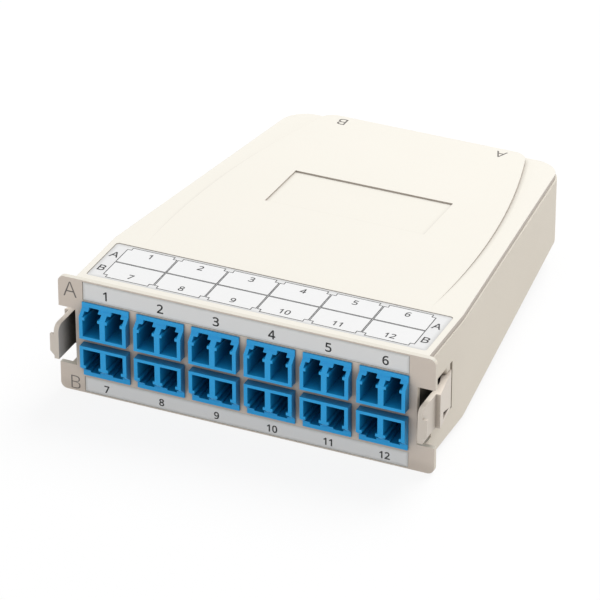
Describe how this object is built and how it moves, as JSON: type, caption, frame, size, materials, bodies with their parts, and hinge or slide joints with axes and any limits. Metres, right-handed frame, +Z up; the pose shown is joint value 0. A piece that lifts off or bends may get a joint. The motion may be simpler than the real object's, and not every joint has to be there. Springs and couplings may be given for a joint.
{
  "type": "fibre optic cassette",
  "caption": "Flat fibre cassette: a wide front flange with rows of duplex LC adapters, sprung side latches and a shallow body that narrows towards its rear multi-fibre ports.",
  "frame": {"origin": "centre of the bounding box in plan, at the lowest face of the flange", "axes": "+X to the right seen from the front, +Y from the front face to the rear ports, +Z up through the top cover"},
  "size_m": [0.1024, 0.1284, 0.0326],
  "materials": {
    "cream_plastic": "fine matte",
    "blue_plastic": "satin",
    "black_plastic": "satin",
    "white_plastic": "satin",
    "zirconia": "polished",
    "steel": "drawn",
    "fibre_jacket": "satin",
    "grey_label": "satin print",
    "white_label": "satin print"
  },
  "bodies": {
    "housing": {"base_shell": "cream_plastic", "top_cover": "cream_plastic", "adapter_01": "blue_plastic", "adapter_02": "blue_plastic", "adapter_03": "blue_plastic", "adapter_04": "blue_plastic", "adapter_05": "blue_plastic", "adapter_06": "blue_plastic", "adapter_07": "blue_plastic", "adapter_08": "blue_plastic", "adapter_09": "blue_plastic", "adapter_10": "blue_plastic", "adapter_11": "blue_plastic", "adapter_12": "blue_plastic", "left_latch_pin": "steel", "right_latch_pin": "steel", "upper_sleeves": "zirconia", "upper_plugs": "white_plastic", "upper_fibres": "fibre_jacket", "upper_number_strip": "grey_label", "lower_sleeves": "zirconia", "lower_plugs": "white_plastic", "lower_fibres": "fibre_jacket", "lower_number_strip": "grey_label", "rear_adapter_a": "black_plastic", "rear_plug_a": "black_plastic", "fanout_block_a": "white_plastic", "fibre_ribbon_a": "fibre_jacket", "rear_adapter_b": "black_plastic", "rear_plug_b": "black_plastic", "fanout_block_b": "white_plastic", "fibre_ribbon_b": "fibre_jacket", "top_label": "white_label"},
    "left_latch_arm": {"left_latch": "cream_plastic", "left_latch_spring": "steel"},
    "right_latch_arm": {"right_latch": "cream_plastic", "right_latch_spring": "steel"}
  },
  "joints": [
    {"name": "left_latch_pivot", "type": "hinge", "parent": "housing", "child": "left_latch_arm", "pos_m": [-0.0469, -0.04362, 0.0154], "axis": [0, 0, 1], "range_deg": [0, 6], "stiffness_Nm_per_rad": 0.02, "springref_deg": -2.86},
    {"name": "right_latch_pivot", "type": "hinge", "parent": "housing", "child": "right_latch_arm", "pos_m": [0.0469, -0.04362, 0.0154], "axis": [0, 0, -1], "range_deg": [0, 6], "stiffness_Nm_per_rad": 0.02, "springref_deg": -2.86}
  ]
}
